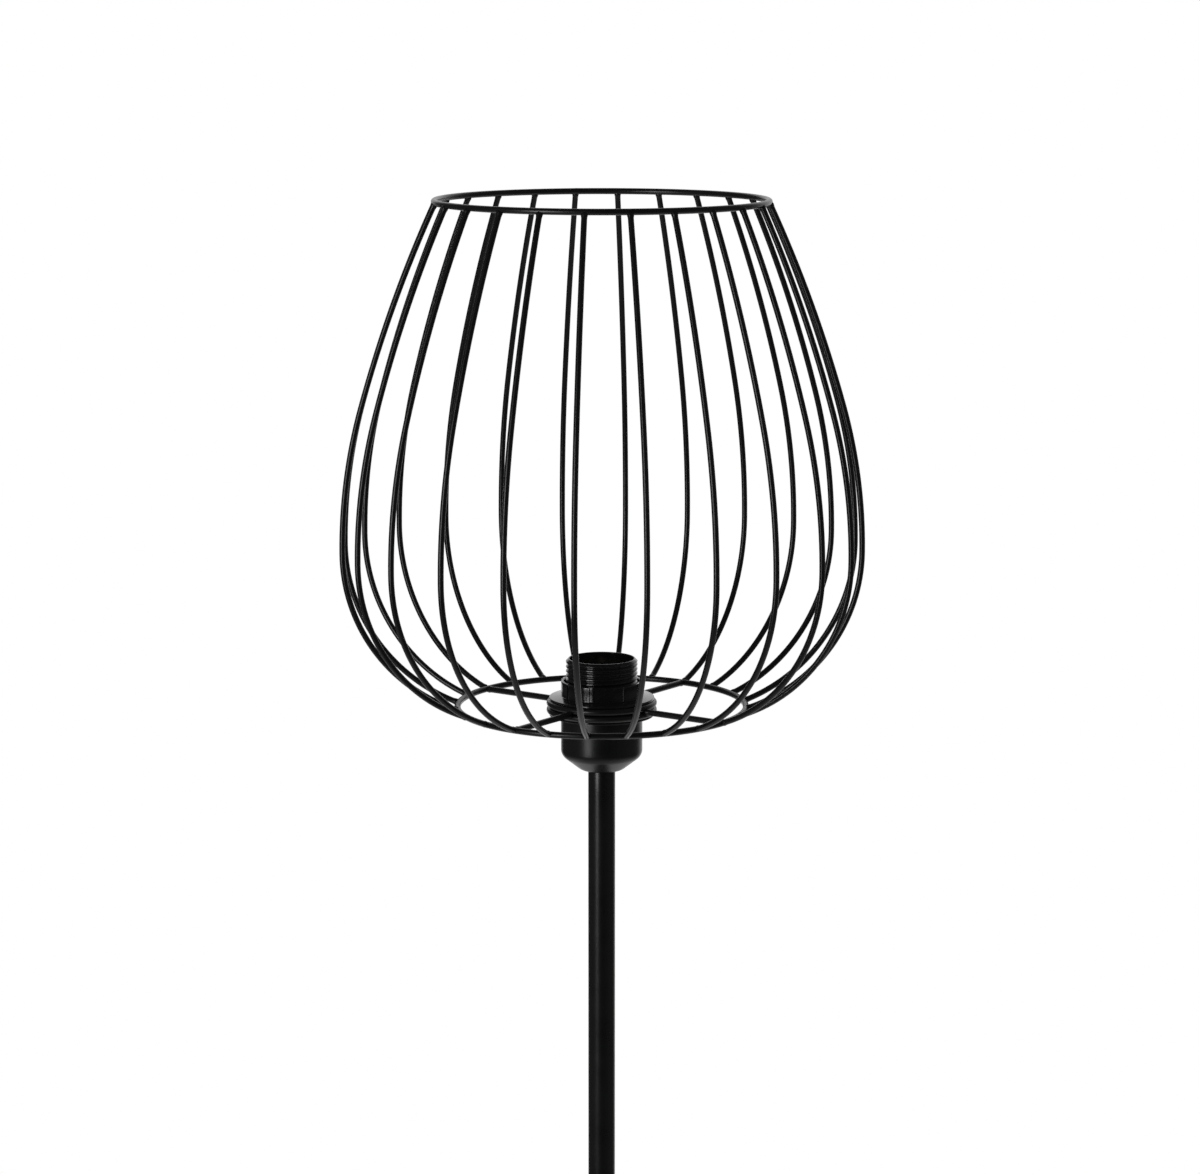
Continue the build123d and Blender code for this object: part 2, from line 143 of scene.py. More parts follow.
class LampCageSizes(bpy.types.PropertyGroup):
    """Sizes of the cage's bent wires that its CAD box doesn't give."""

    rib_count: whole("Ribs", "Upright wires round the cage", 24)
    first_rib: angle("First rib", "Azimuth of the rib nearest to the front", -5.67)
    rib_wire: length("Rib wire", "Diameter of the upright wires", 3.2 * MM)
    belly_height: length("Belly height", "From the bottom ring up to the widest place", 88.5 * MM)
    shoulder_inset: length("Shoulder inset", "How far the belly's curve draws in", 11.0 * MM)
    shoulder_height: length("Shoulder height", "Where the flatter top begins", 167.7 * MM)
    spoke_count: whole("Spokes", "Wires from the bottom ring to the hub", 4)
    first_spoke: angle("First spoke", "Azimuth of the first spoke", -35.5)
    spoke_wire: length("Spoke wire", "Diameter of the spokes", 3.5 * MM)
    bead_width: length("Weld bead width", "Along the wire, at its welded ends", 1.8 * MM)
    bead_height: length("Weld bead height", "How far a bead stands proud", 0.3 * MM)


class LampHolderSizes(bpy.types.PropertyGroup):
    """Sizes of the lampholder's moulded and rolled details."""

    thread_pitch: length("Shade-ring thread pitch", "Rise per turn of the outer thread", 2.5 * MM)
    thread_depth: length("Shade-ring thread depth", "From crest to root", 0.85 * MM)
    skirt_wall: length("Skirt wall", "From the skirt's bore to its thread's crest", 2.0 * MM)
    skirt_body: length("Skirt body", "How far the body below the flange stands out", 1.4 * MM)
    skirt_neck: length("Skirt neck", "How far the body's bore lies inside the crest", 0.32 * MM)
    skirt_drop: length("Skirt drop", "From the skirt's foot up to its flange", 8.0 * MM)
    flange_thick: length("Flange", "Thickness of the skirt's flange", 1.0 * MM)
    skirt_ledge: length("Skirt ledge", "Thickness of the inner ledge", 0.6 * MM)
    skirt_chamfer: length("Skirt lead-in", "Chamfer that leads the ring on", 1.4 * MM)
    ring_edge: length("Ring edge", "Thickness of the shade ring at its rim", 1.2 * MM)
    ring_cone: length("Ring cone", "Rise from the rim to the collar", 0.9 * MM)
    ring_thread: length("Ring thread", "Length of the shade ring's own thread", 4.6 * MM)
    ring_groove: length("Ring groove", "Depth of the shade ring's own thread", 0.6 * MM)
    collar_wall: length("Collar wall", "From the ring's bore to the collar's outside", 2.42 * MM)
    mouth_wall: length("Mouth", "From the ring's bore to its wider mouth", 1.02 * MM)
    lamp_pitch: length("Lamp thread pitch", "Rise per turn of the rolled shell", 3.629 * MM)
    lamp_depth: length("Lamp thread depth", "How far the shell's thread bulges inwards", 1.0 * MM)
    shell_wall: length("Shell wall", "Sheet thickness of the rolled shell", 0.35 * MM)
    grip_count: whole("Grip ribs", "Narrow ribs round the shade ring's collar", 8)
    first_grip: angle("First grip rib", "Azimuth of the first narrow rib", -12.1)
    grip_width: length("Grip rib width", "Width of a narrow rib", 0.9 * MM)
    grip_proud: length("Grip rib height", "How far a rib stands proud", 0.6 * MM)
    block_width: length("Grip block width", "Width of the wider blocks", 3.4 * MM)
    block_turn: angle("Grip block turn", "From every second rib to its block", -9.8)
    grip_flank: length("Grip flank", "Width of the slope at a rib's sides", 0.24 * MM)
    moulded_edge: length("Moulded edge", "Radius on the plastic's outer edges", 0.25 * MM)


class LampStandSizes(bpy.types.PropertyGroup):
    """Sizes of the cup, the pole and the base."""

    cup_wall: length("Cup wall", "Sheet thickness of the cup", 0.9 * MM)
    cup_straight: length("Cup side", "Height of the cup's upright side", 22.3 * MM)
    cup_bottom: length("Cup bottom", "Radius of the cup's flat bottom before its bend", 11.35 * MM)
    cup_bend: length("Cup bend", "Radius of the cup's bends", 6.0 * MM)
    tube_wall: length("Tube wall", "Wall of the pole's tube", 1.0 * MM)
    tube_break: length("Tube edge", "Rounded edge at the ends of each tube", 0.35 * MM)
    tube_burr: length("Tube bore edge", "Rounded edge at the ends of each bore", 0.1 * MM)
    rim_height: length("Rim height", "Height of the base cover's rim", 16.0 * MM)
    rim_bend: length("Rim bend", "Radius of the rim's bend", 4.0 * MM)
    flat_radius: length("Flat radius", "Radius of the flat round the pole", 16.0 * MM)
    cover_wall: length("Cover wall", "Sheet thickness of the base cover", 1.2 * MM)
    cover_sweep: length("Cover sweep", "Radius where the cover meets its flat", 30 * MM)
    cut_edge: length("Cut edge", "Radius of the coat over a cut sheet's edge", 0.3 * MM)
    foot_count: whole("Feet", "Foam pads under the base", 5)
    foot_radius: length("Foot radius", "Radius of a foam pad", 11 * MM)


class LampColours(bpy.types.PropertyGroup):
    """Colours of the lamp's finishes."""

    coat: colour("Powder coat", "Black powder coat on the metal", "#080809")
    plastic: colour("Moulded black", "Black thermoplastic of the lampholder", "#090909")
    nickel: colour("Nickel", "Nickel plate of the screw shell", "#c9c2b4")
    bronze: colour("Spring bronze", "Strip of the centre contact", "#c98f5e")
    brass: colour("Brass", "Turned terminals and rivet", "#d1a860")
    zinc: colour("Zinc plate", "Bright zinc on the steel fasteners", "#c3c6c9")
    iron: colour("Cast iron", "Grey iron of the weight", "#45454a")
    foam: colour("Foam rubber", "Pads under the base", "#18181a")


class LampStudio(bpy.types.PropertyGroup):
    """Where the camera stands and how large the studio is."""

    distance: length("Camera distance", "From the pole's axis, level", 1.880)
    height: length("Camera height", "Above the floor", 1.6151)
    aside: bpy.props.FloatProperty(
        name="Camera aside", description="Camera's place along X", default=-0.94 * MM,
        precision=5, unit="LENGTH", subtype="DISTANCE",
    )
    pitch: angle("Camera pitch", "How far the camera looks down", 9.896)
    lens: bpy.props.FloatProperty(
        name="Lens", description="Focal length on a 36 mm wide sensor", default=104.24,
        min=1.0, unit="CAMERA",
    )
    floor_radius: length("Floor radius", "Radius of the pale floor", 2.4)


# ---- surfaces in numpy


def grid_shell(points, wrap_rows=False):
    """A closed shell over a grid of points (rows, columns, 3).

    Neighbouring points span four-sided faces, and the last column joins the
    first. With wrap_rows the last row joins the first too, as on a ring, and
    otherwise each end row is closed by a fan round its mean point. The faces
    are turned outwards by the sign of the volume that they enclose.
    """
    rows, columns = points.shape[:2]
    index = np.arange(rows * columns).reshape(rows, columns)
    after = np.roll(index, -1, axis=1)
    if wrap_rows:
        below, below_after = np.roll(index, -1, axis=0), np.roll(after, -1, axis=0)
        quads = np.stack([index, after, below_after, below], -1).reshape(-1, 4)
        vertices, fans = points.reshape(-1, 3), np.empty((0, 3), int)
    else:
        quads = np.stack([index[:-1], after[:-1], after[1:], index[1:]], -1).reshape(-1, 4)
        first, last = rows * columns, rows * columns + 1
        vertices = np.vstack([points.reshape(-1, 3), points[0].mean(0), points[-1].mean(0)])
        start = np.stack([np.full(columns, first), after[0], index[0]], -1)
        end = np.stack([np.full(columns, last), index[-1], after[-1]], -1)
        fans = np.vstack([start, end])
    corners = vertices[quads]
    halves = np.concatenate([corners[:, [0, 1, 2]], corners[:, [0, 2, 3]], vertices[fans]])
    volume = np.einsum("ij,ij->i", halves[:, 0], np.cross(halves[:, 1], halves[:, 2])).sum()
    if volume < 0:
        quads, fans = quads[:, ::-1], fans[:, ::-1]
    return vertices, quads, fans


def joined(shells):
    """Several shells as the vertices, four-sided and three-sided faces of one mesh."""
    counts = np.cumsum([0] + [len(shell[0]) for shell in shells])
    vertices = np.vstack([shell[0] for shell in shells])
    quads = np.vstack([shell[1] + start for shell, start in zip(shells, counts)])
    fans = np.vstack([shell[2] + start for shell, start in zip(shells, counts)])
    return vertices, quads, fans


def around(azimuth, radius, height):
    """Points at an azimuth, a radius from the pole's axis and a height, broadcast together."""
    azimuth, radius, height = np.broadcast_arrays(azimuth, radius, height)
    return np.stack([radius * np.sin(azimuth), -radius * np.cos(azimuth), height], -1)


def full_turn(count):
    """That many angles evenly round a circle."""
    return np.linspace(0, 2 * math.pi, count, endpoint=False)


def detailed_turn(count, places, reach, extra):
    """Angles evenly round a circle, and extra ones within a reach of each place."""
    near = (places[:, None] + reach * np.linspace(-1, 1, extra)).ravel() % (2 * math.pi)
    return np.unique(np.round(np.concatenate([full_turn(count), near]), 3))


def lathe(profile, columns):
    """A profile of (radius, height) points turned round the pole's axis as a closed ring."""
    turn = full_turn(columns)[None, :]
    return grid_shell(around(turn, profile[:, :1], profile[:, 1:]), wrap_rows=True)


def rounded(corners, radii, steps=5):
    """A closed outline with every corner rounded by an arc.

    At a corner the arc's radius r takes r / tan(half the corner's angle) off
    both sides, and its centre lies on the bisector.
    """
    corners = np.asarray(corners, float)
    radii = np.broadcast_to(radii, len(corners))
    before = np.roll(corners, 1, axis=0) - corners
    after = np.roll(corners, -1, axis=0) - corners
    before /= np.linalg.norm(before, axis=1, keepdims=True)
    after /= np.linalg.norm(after, axis=1, keepdims=True)
    half = np.arccos(np.clip((before * after).sum(1), -1, 1)) / 2
    bisector = before + after
    bisector /= np.linalg.norm(bisector, axis=1, keepdims=True)
    centres = corners + bisector * (radii / np.sin(half))[:, None]
    across = np.stack([-bisector[:, 1], bisector[:, 0]], -1)
    across *= np.sign((across * after).sum(1))[:, None]
    reach = (math.pi / 2 - half)[:, None] * np.linspace(-1, 1, steps)
    arc = (
        centres[:, None]
        - bisector[:, None] * (radii[:, None] * np.cos(reach))[..., None]
        + across[:, None] * (radii[:, None] * np.sin(reach))[..., None]
    )
    return arc.reshape(-1, 2)


def dense(outline, step, fine=None, low=0.0, high=0.0):
    """A closed outline with points added so that none lie further apart than the step.

    The sides that lie between the radii low and high have the fine step.
    """
    following = np.roll(outline, -1, axis=0)
    radii = np.stack([outline[:, 0], following[:, 0]])
    inside = (radii.min(0) > low) & (radii.max(0) < high)
    steps = np.where(inside, fine or step, step)
    counts = np.ceil(np.linalg.norm(following - outline, axis=1) / steps).astype(int)
    counts = np.maximum(counts, 1)
    side = np.repeat(np.arange(len(outline)), counts)
    first = np.repeat(np.cumsum(counts) - counts, counts)
    share = (np.arange(len(side)) - first) / counts[side]
    return outline[side] + (following - outline)[side] * share[:, None]


def arc_run(start, heading, turn, run, count):
    """Points and headings along an arc, from its start, first heading, whole turn and length.

    With curvature k the place after a length s is the start plus
    (sin(h + k s) - sin h, cos h - cos(h + k s)) / k, where h is the heading.
    """
    s = np.linspace(0, run, count)
    k = turn / run
    now = heading + k * s
    x = start[0] + (np.sin(now) - math.sin(heading)) / k
    z = start[1] + (math.cos(heading) - np.cos(now)) / k
    return np.stack([x, z], -1), now


def arc_to(start, heading, end, count):
    """An arc that leaves the start along its heading and passes through the end.

    The chord turns by half of the arc's turn, so the arc's length is the chord
    times half the turn over that half's sine.
    """
    chord = np.subtract(end, start)
    half = math.atan2(chord[1], chord[0]) - heading
    run = float(np.hypot(*chord)) * half / math.sin(half)
    return arc_run(start, heading, 2 * half, run, count)


def tube_along(centres, radii, side, other, columns=16):
    """A round tube: at each centre a circle of its radius, spanned by two unit directions."""
    turn = full_turn(columns)[None, :, None]
    spokes = side[:, None] * np.cos(turn) + other[:, None] * np.sin(turn)
    return grid_shell(centres[:, None] + np.asarray(radii)[:, None, None] * spokes)


def domed_ends(distance, run, radius, dome, tip=0.02):
    """A tube's radius at distances along it, with both ends rounded off over a dome's length.

    It is that of an ellipse, r sqrt(1 - (1 - t)^2), where t runs from the tip's
    small flat to 1 at the end of the dome.
    """
    nearest = np.minimum(distance, run - distance)
    inside = np.clip(nearest / dome, tip, 1)
    return radius * np.sqrt(1 - (1 - inside) ** 2)


def swell(distance, place, width):
    """A smooth bump of height 1: the bell curve of a distance from its place."""
    return np.exp(-(((distance - place) / width) ** 2))


def smooth_step(value, low, high):
    """0 below low, 1 above high and a cubic ease between them."""
    t = np.clip((value - low) / (high - low), 0, 1)
    return t * t * (3 - 2 * t)


def plateau(value, begins, full, falls, ends):
    """Rises from 0 to 1, stays there and falls back to 0, each time with a cubic ease."""
    return smooth_step(value, begins, full) * (1 - smooth_step(value, falls, ends))


# ---- pieces and riding
CREASE = math.radians(50)


def in_scene(name, data):
    """A new object that holds the data, put in the scene."""
    item = bpy.data.objects.new(name, data)
    bpy.context.scene.collection.objects.link(item)
    return item


def put_piece(name, shells, material, body, node):
    """Makes one piece, smooth up to the crease angle, which rides on a body in a node's place."""
    vertices, quads, fans = joined(shells)
    mesh = bpy.data.meshes.new(name)
    mesh.from_pydata(vertices.tolist(), [], quads.tolist() + fans.tolist())
    mesh.polygons.foreach_set("use_smooth", np.ones(len(mesh.polygons), bool))
    mesh.set_sharp_from_angle(angle=CREASE)
    mesh.materials.append(material)
    mesh.update()
    piece = in_scene(name, mesh)
    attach(piece, body)
    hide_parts(node)


def finish_node(node, material):
    """Gives a CAD node that keeps its shape its finish."""
    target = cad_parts[node]
    target.data.materials.clear()
    target.data.materials.append(material)


# ---- materials
NOISE_SPAN = (0.3, 0.7)     # where nearly all of a noise texture's values lie


def add_node(tree, kind, inputs=None, **settings):
    """Adds a node and sets its fields and inputs.

    An input given as a socket is linked to it, and one given as a node to that
    node's first output.
    """
    node = tree.nodes.new(kind)
    for field, value in settings.items():
        setattr(node, field, value)
    for socket, value in (inputs or {}).items():
        if isinstance(value, bpy.types.Node):
            value = value.outputs[0]
        if isinstance(value, bpy.types.NodeSocket):
            tree.links.new(value, node.inputs[socket])
        else:
            node.inputs[socket].default_value = value
    return node


def new_material(name):
    """An empty node material and its tree, with the object's own coordinates."""
    material = bpy.data.materials.new(name)
    material.use_nodes = True
    tree = material.node_tree
    tree.nodes.clear()
    place = add_node(tree, "ShaderNodeTexCoord").outputs["Object"]
    return material, tree, place


def put_finish(tree, tone, shades, tint_by, relief, depth, gloss_by=None, gloss=None, **constants):
    """Joins patterns into a finish and sends it to the material's output.

    The tone is multiplied by a factor that runs between two shades with the
    pattern tint_by, the roughness runs between two values with gloss_by, and
    the relief is a bump of the given depth in metres. The constants are set on
    the shader's own sockets.
    """
    dark, light = ((*(min(1.0, channel * shade) for channel in tone), 1) for shade in shades)
    tint = add_node(tree, "ShaderNodeMix", {0: tint_by, 6: dark, 7: light}, data_type="RGBA")
    bump = add_node(tree, "ShaderNodeBump", {"Height": relief, "Distance": depth, "Strength": 1.0})
    inputs = {"Base Color": tint.outputs[2], "Normal": bump, **constants}
    if gloss_by:
        inputs["Roughness"] = add_node(tree, "ShaderNodeMapRange", {
            "Value": gloss_by, "From Min": NOISE_SPAN[0], "From Max": NOISE_SPAN[1],
            "To Min": gloss[0], "To Max": gloss[1],
        })
    shader = add_node(tree, "ShaderNodeBsdfPrincipled", inputs)
    add_node(tree, "ShaderNodeOutputMaterial", {"Surface": shader})


def powder_coat(colours):
    """Black polyester powder coat, baked on steel.

    The powder melts into a skin with a fine orange peel about 0.7 mm across,
    so highlights are soft and broken a little at their edges.
    """
    material, tree, place = new_material("black_powder_coat")
    peel = add_node(tree, "ShaderNodeTexNoise", {
        "Vector": place, "Scale": 1 / (0.7 * MM), "Detail": 1.5,
    })
    patches = add_node(tree, "ShaderNodeTexNoise", {"Vector": place, "Scale": 1 / (14 * MM)})
    put_finish(tree, colours.coat, (0.8, 1.2), patches, peel, 0.003 * MM, patches, (0.27, 0.33),
               IOR=1.5)
    return material


def moulded_plastic(colours):
    """Black heat-resistant polyester (PBT), injection moulded in a polished mould.

    It is shinier than the coat, with faint flow marks and sinks where the melt cooled.
    """
    material, tree, place = new_material("black_moulded_pbt")
    flow = add_node(tree, "ShaderNodeTexNoise", {"Vector": place, "Scale": 1 / (6 * MM)})
    sinks = add_node(tree, "ShaderNodeTexNoise", {
        "Vector": place, "Scale": 1 / (3 * MM), "Detail": 1.0,
    })
    put_finish(tree, colours.plastic, (0.85, 1.2), flow, sinks, 0.004 * MM, flow, (0.12, 0.16),
               IOR=1.55)
    return material


def plated_metal(name, tone, gloss, lump, depth):
    """A plated or turned metal: even colour, slightly cloudy gloss and faint handling marks.

    The clouds are as large as the lump, and the marks 0.25 mm.
    """
    material, tree, place = new_material(name)
    cloud = add_node(tree, "ShaderNodeTexNoise", {"Vector": place, "Scale": 1 / lump})
    marks = add_node(tree, "ShaderNodeTexNoise", {
        "Vector": place, "Scale": 1 / (0.25 * MM), "Detail": 3.0,
    })
    put_finish(tree, tone, (0.9, 1.06), cloud, marks, depth, cloud, gloss, Metallic=1.0)
    return material


def cast_iron(colours):
    """Grey iron as it leaves the sand mould: dull, dark and grainy, with sand about 0.8 mm."""
    material, tree, place = new_material("sand_cast_grey_iron")
    sand = add_node(tree, "ShaderNodeTexNoise", {
        "Vector": place, "Scale": 1 / (0.8 * MM), "Detail": 4.0, "Roughness": 0.65,
    })
    stain = add_node(tree, "ShaderNodeTexNoise", {
        "Vector": place, "Scale": 1 / (18 * MM), "Detail": 3.0,
    })
    put_finish(tree, colours.iron, (0.7, 1.25), stain, sand, 0.12 * MM, sand, (0.55, 0.75),
               Metallic=1.0)
    return material


def foam_rubber(colours):
    """Closed-cell foam rubber, die-cut from sheet: matt black with cells about 0.4 mm."""
    material, tree, place = new_material("die_cut_foam_rubber")
    cells = add_node(tree, "ShaderNodeTexVoronoi", {"Vector": place, "Scale": 1 / (0.4 * MM)})
    put_finish(tree, colours.foam, (0.6, 1.3), cells, cells, 0.08 * MM, Roughness=0.92, IOR=1.45)
    return material


FINISHES = {}


def finish(name):
    """One of the lamp's finishes by its short name. All of them are made on the first call."""
    if not FINISHES:
        make_finishes(bpy.context.scene.lamp_colours)
    return FINISHES[name]


def make_finishes(colours):
    """Every material of the lamp, by a short name."""
    metals = {
        "nickel": ("nickel_plated_brass", colours.nickel, (0.2, 0.32), 4 * MM, 0.004 * MM),
        "bronze": ("rolled_spring_bronze", colours.bronze, (0.25, 0.38), 3 * MM, 0.004 * MM),
        "brass": ("turned_brass", colours.brass, (0.25, 0.4), 2 * MM, 0.006 * MM),
        "zinc": ("bright_zinc_on_steel", colours.zinc, (0.28, 0.42), 3 * MM, 0.006 * MM),
    }
    FINISHES.update(
        coat=powder_coat(colours),
        plastic=moulded_plastic(colours),
        iron=cast_iron(colours),
        foam=foam_rubber(colours),
        **{name: plated_metal(*metal) for name, metal in metals.items()},
    )


# ---- cage
# Each wire ring and the azimuth at which its two ends are butt-welded.
CAGE_RINGS = {
    "cage_top_ring": (TOP_RING, math.radians(189)),
    "cage_bottom_ring": (SEAT_RING, math.radians(172)),
    "cage_hub_upper": (HUB_UPPER, math.radians(150)),
    "cage_hub_lower": (HUB_LOWER, math.radians(205)),
}
END_STRETCH = 3     # the finely divided length at a wire's ends, in wire radii
END_ROWS = 9        # rows of points on it
END_DOME = 0.5      # the length of a wire's rounded end, in wire radii


def wire_ring(ring, butt, swelling=0.03, weld=1.6 * MM, columns=16, rows=240):
    """A ring of round wire, a little swollen where its two ends are butt-welded.

    The wire's radius is w (1 - s (1 - b)), where s is the swelling and b the bell
    curve of the distance from the weld.
    """
    radius, height, wire = ring
    turn = full_turn(rows)[:, None]
    apart = (turn - butt + math.pi) % (2 * math.pi) - math.pi
    section = wire * (1 - swelling * (1 - swell(apart * radius, 0, weld)))
    around_wire = full_turn(columns)[None, :]
    reach = radius + section * np.cos(around_wire)
    return grid_shell(around(turn, reach, height + section * np.sin(around_wire)), wrap_rows=True)


def rib_path(cage, count=34):
    """A rib's centre line as radii and heights above the bottom ring, and its headings.

    It is three arcs, each leaving the one before along its heading: the belly
    from the bottom ring to the widest place, where it stands upright, the
    shoulder, and the flatter run to the top ring.
    """
    belly_radius = node_reach("cage_ribs") - cage.rib_wire / 2
    reach = belly_radius - SEAT_RING[0]
    rise = cage.belly_height
    bend = (reach**2 + rise**2) / (2 * reach)
    turn = math.atan2(rise, bend - reach)
    upright = math.pi / 2
    belly, headings = arc_run((SEAT_RING[0], 0.0), upright - turn, turn, bend * turn, count)
    shoulder_end = (belly_radius - cage.shoulder_inset, cage.shoulder_height)
    shoulder, shoulder_headings = arc_to(belly[-1], upright, shoulder_end, count // 2)
    top, top_headings = arc_to(
        shoulder_end, shoulder_headings[-1], (TOP_RING[0], CAGE_HEIGHT), count // 2
    )
    path = np.vstack([belly, shoulder[1:], top[1:]])
    return path, np.concatenate([headings, shoulder_headings[1:], top_headings[1:]])


def wire_rows(middle, run, wire):
    """Distances along a wire: those of its middle, and finer ones over its rounded ends."""
    near = END_STRETCH * wire
    ends = near * np.linspace(0, 1, END_ROWS) ** 2
    middle = middle[(middle > near) & (middle < run - near)]
    return np.unique(np.concatenate([ends, middle, run - ends]))


def welded_radii(distance, run, first_ring, last_ring, wire, cage):
    """A wire's radius along it: both ends rounded, and on each the bead of its weld to a ring."""
    radii = domed_ends(distance, run, wire, END_DOME * wire)
    bead = cage.bead_width / 2
    radii = radii + cage.bead_height * swell(run - distance, last_ring[2], bead)
    return radii + cage.bead_height * swell(distance, first_ring[2], bead)


class LAMP_OT_cage_rings(bpy.types.Operator):
    """Make the cage's wire rings: the open top, the bottom ring and the two of the hub"""

    bl_idname = "lamp.cage_rings"
    bl_label = "Cage Rings"

    def execute(self, context):
        for node, (ring, butt) in CAGE_RINGS.items():
            shell = wire_ring(ring, butt)
            put_piece(f"{node}_wire", [shell], finish("coat"), "cage", node)
        return {"FINISHED"}


class LAMP_OT_cage_ribs(bpy.types.Operator):
    """Make the cage's upright ribs, bent from round wire and welded to both rings"""

    bl_idname = "lamp.cage_ribs"
    bl_label = "Cage Ribs"

    def execute(self, context):
        cage = context.scene.lamp_cage
        wire = cage.rib_wire / 2
        path, headings = rib_path(cage)
        steps = np.hypot(*np.diff(path, axis=0).T)
        along = np.concatenate([[0], np.cumsum(steps)])
        run = along[-1]
        distance = wire_rows(along, run, wire)
        path = np.stack([np.interp(distance, along, path[:, i]) for i in (0, 1)], -1)
        headings = np.interp(distance, along, headings)
        radii = welded_radii(distance, run, SEAT_RING, TOP_RING, wire, cage)
        shells = []
        for azimuth in cage.first_rib + full_turn(cage.rib_count):
            centres = around(azimuth, path[:, 0], SEAT + path[:, 1])
            outward = around(azimuth, 1.0, 0.0)
            across = np.cross(UP, outward)
            side = np.sin(headings)[:, None] * outward - np.cos(headings)[:, None] * UP
            shells.append(tube_along(centres, radii, side, np.broadcast_to(across, side.shape)))
        put_piece("cage_rib_wires", shells, finish("coat"), "cage", "cage_ribs")
        return {"FINISHED"}


class LAMP_OT_cage_spokes(bpy.types.Operator):
    """Make the spokes that run from the bottom ring into the hub's groove"""

    bl_idname = "lamp.cage_spokes"
    bl_label = "Cage Spokes"

    def execute(self, context):
        cage = context.scene.lamp_cage
        wire = cage.spoke_wire / 2
        inner, outer = HUB_UPPER[0], SEAT_RING[0]
        run = outer - inner
        near = END_STRETCH * wire
        distance = wire_rows(np.linspace(near, run - near, num=12), run, wire)
        radii = welded_radii(distance, run, HUB_UPPER, SEAT_RING, wire, cage)
        shells = []
        for azimuth in cage.first_spoke + full_turn(cage.spoke_count):
            outward = around(azimuth, 1.0, 0.0)
            centres = around(azimuth, inner + distance, SEAT)
            across = np.broadcast_to(np.cross(UP, outward), centres.shape)
            up = np.broadcast_to(UP, centres.shape)
            shells.append(tube_along(centres, radii, across, up))
        put_piece("cage_spoke_wires", shells, finish("coat"), "cage", "cage_spokes")
        return {"FINISHED"}


# ---- lampholder
CLOSE = 0.05 * MM       # two radii that differ by less belong to the same surface


def helix_wave(turn, height, pitch):
    """How far a point is through the profile of a right-hand thread, from 0 to 1.

    It is the height in pitches less the azimuth in turns, without its whole part.
    """
    return (height / pitch - turn / (2 * math.pi)) % 1.0


def thread_form(wave, crest=0.2, root=0.12, lean=0.08):
    """A trapezoid thread: 1 on the crest, 0 in the root and straight flanks between.

    The crest leans in towards the mouth by a small share of the thread's depth.
    """
    flank = (1 - crest - root) / 2
    rise = wave / flank
    over = 1 - lean * (wave - flank) / crest
    fall = (1 - lean) * (2 * flank + crest - wave) / flank
    return np.clip(np.minimum(np.minimum(rise, over), fall), 0, 1)


class LAMP_OT_shade_ring(bpy.types.Operator):
    """Make the shade ring: a coned flange with a ribbed collar that is threaded inside"""

    bl_idname = "lamp.shade_ring"
    bl_label = "Shade Ring"

    def execute(self, context):
        sizes = context.scene.lamp_holder
        under, top = node_span("shade_ring")
        rim = node_reach("shade_ring")
        bore = node_bore("shade_ring")
        collar, mouth = bore + sizes.collar_wall, bore + sizes.mouth_wall
        edge, thread, soft = sizes.ring_edge, sizes.ring_thread, sizes.moulded_edge
        neck = under + edge + sizes.ring_cone
        corners = [
            (bore, under), (rim, under), (rim, under + edge), (collar, neck),
            (collar, top), (mouth, top), (mouth, under + thread), (bore, under + thread),
        ]
        outline = rounded(corners, [soft, soft, soft, 2 * soft, soft, soft, soft, soft])
        outline = dense(outline, step=0.5 * MM, fine=0.18 * MM, low=bore - CLOSE, high=bore + CLOSE)
        radius, height = outline[:, :1], outline[:, 1:]
        ribs = sizes.first_grip + full_turn(sizes.grip_count)
        blocks = sizes.first_grip + sizes.block_turn + full_turn(sizes.grip_count // 2)
        rib_half, block_half = sizes.grip_width / 2, sizes.block_width / 2
        flanks = np.concatenate([
            ribs - rib_half / collar, ribs + rib_half / collar,
            blocks - block_half / collar, blocks + block_half / collar,
        ])
        reach = 0.7 * sizes.grip_flank / collar
        turn = detailed_turn(count=240, places=flanks, reach=reach, extra=7)[None, :]
        grips = np.maximum(
            self.bumps(turn, collar, ribs[0], len(ribs), rib_half, sizes.grip_flank),
            self.bumps(turn, collar, blocks[0], len(blocks), block_half, sizes.grip_flank),
        )
        on_collar = plateau(radius, collar - 3 * CLOSE, collar - CLOSE,
                            collar + CLOSE, collar + soft)
        on_collar = on_collar * smooth_step(height, neck, neck + soft)
        proud = sizes.grip_proud * on_collar * grips
        in_thread = (radius < bore + CLOSE) & (height > under + soft)
        in_thread = in_thread & (height < under + thread - soft)
        groove = sizes.ring_groove * in_thread * (1 - thread_form(
            helix_wave(turn, height, sizes.thread_pitch)))
        shell = grid_shell(around(turn, radius + proud + groove, height), wrap_rows=True)
        put_piece("shade_ring_moulding", [shell], finish("plastic"), "shade_ring",
                  "shade_ring")
        return {"FINISHED"}

    @staticmethod
    def bumps(turn, radius, first, count, half_width, flank):
        """1 across each of the evenly spaced ribs and 0 between them, with eased flanks."""
        pitch = 2 * math.pi / count
        apart = np.abs((turn - first + pitch / 2) % pitch - pitch / 2) * radius
        return 1 - smooth_step(apart, half_width - flank / 2, half_width + flank / 2)


